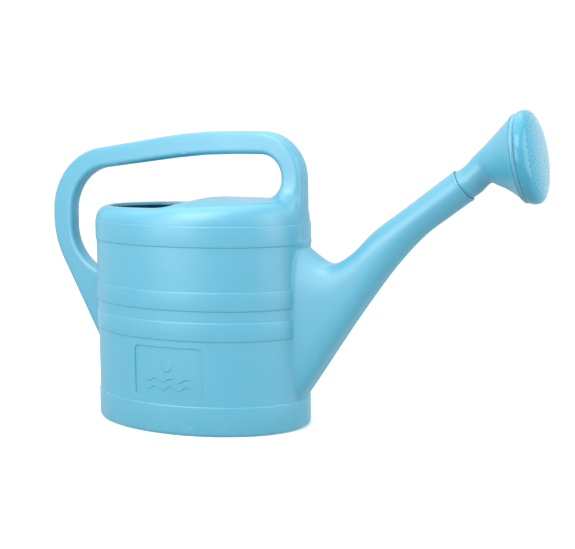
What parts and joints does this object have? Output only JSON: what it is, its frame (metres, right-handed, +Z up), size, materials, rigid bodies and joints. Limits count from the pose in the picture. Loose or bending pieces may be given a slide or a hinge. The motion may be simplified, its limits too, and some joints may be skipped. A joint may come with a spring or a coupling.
{
  "type": "watering can",
  "caption": "Oval garden watering can with a closed loop handle, a long spout with a tall web, and a rose that turns and comes apart.",
  "frame": {"origin": "centre of the tank's flat base, on the ground", "axes": "+X towards the spout, +Y across the can (its plane of symmetry is y = 0), +Z up"},
  "size_m": [0.6109, 0.1916, 0.363],
  "materials": {
    "can_plastic": "light blue blow-moulded polyethylene, satin",
    "rose_plastic": "light blue injection-moulded plastic, glossy"
  },
  "bodies": {
    "can": {"can_body": "can_plastic"},
    "rose": {"rose_funnel": "rose_plastic"},
    "cap": {"rose_face": "rose_plastic"}
  },
  "joints": [
    {"name": "rose_twist", "type": "hinge", "parent": "can", "child": "rose", "pos_m": [0.3162, 0, 0.2832], "axis": [0.8192, 0, 0.5736], "continuous": true},
    {"name": "cap_pull", "type": "slide", "parent": "rose", "child": "cap", "axis": [0.9839, 0, 0.1788], "range_m": [0, 0.03]}
  ]
}
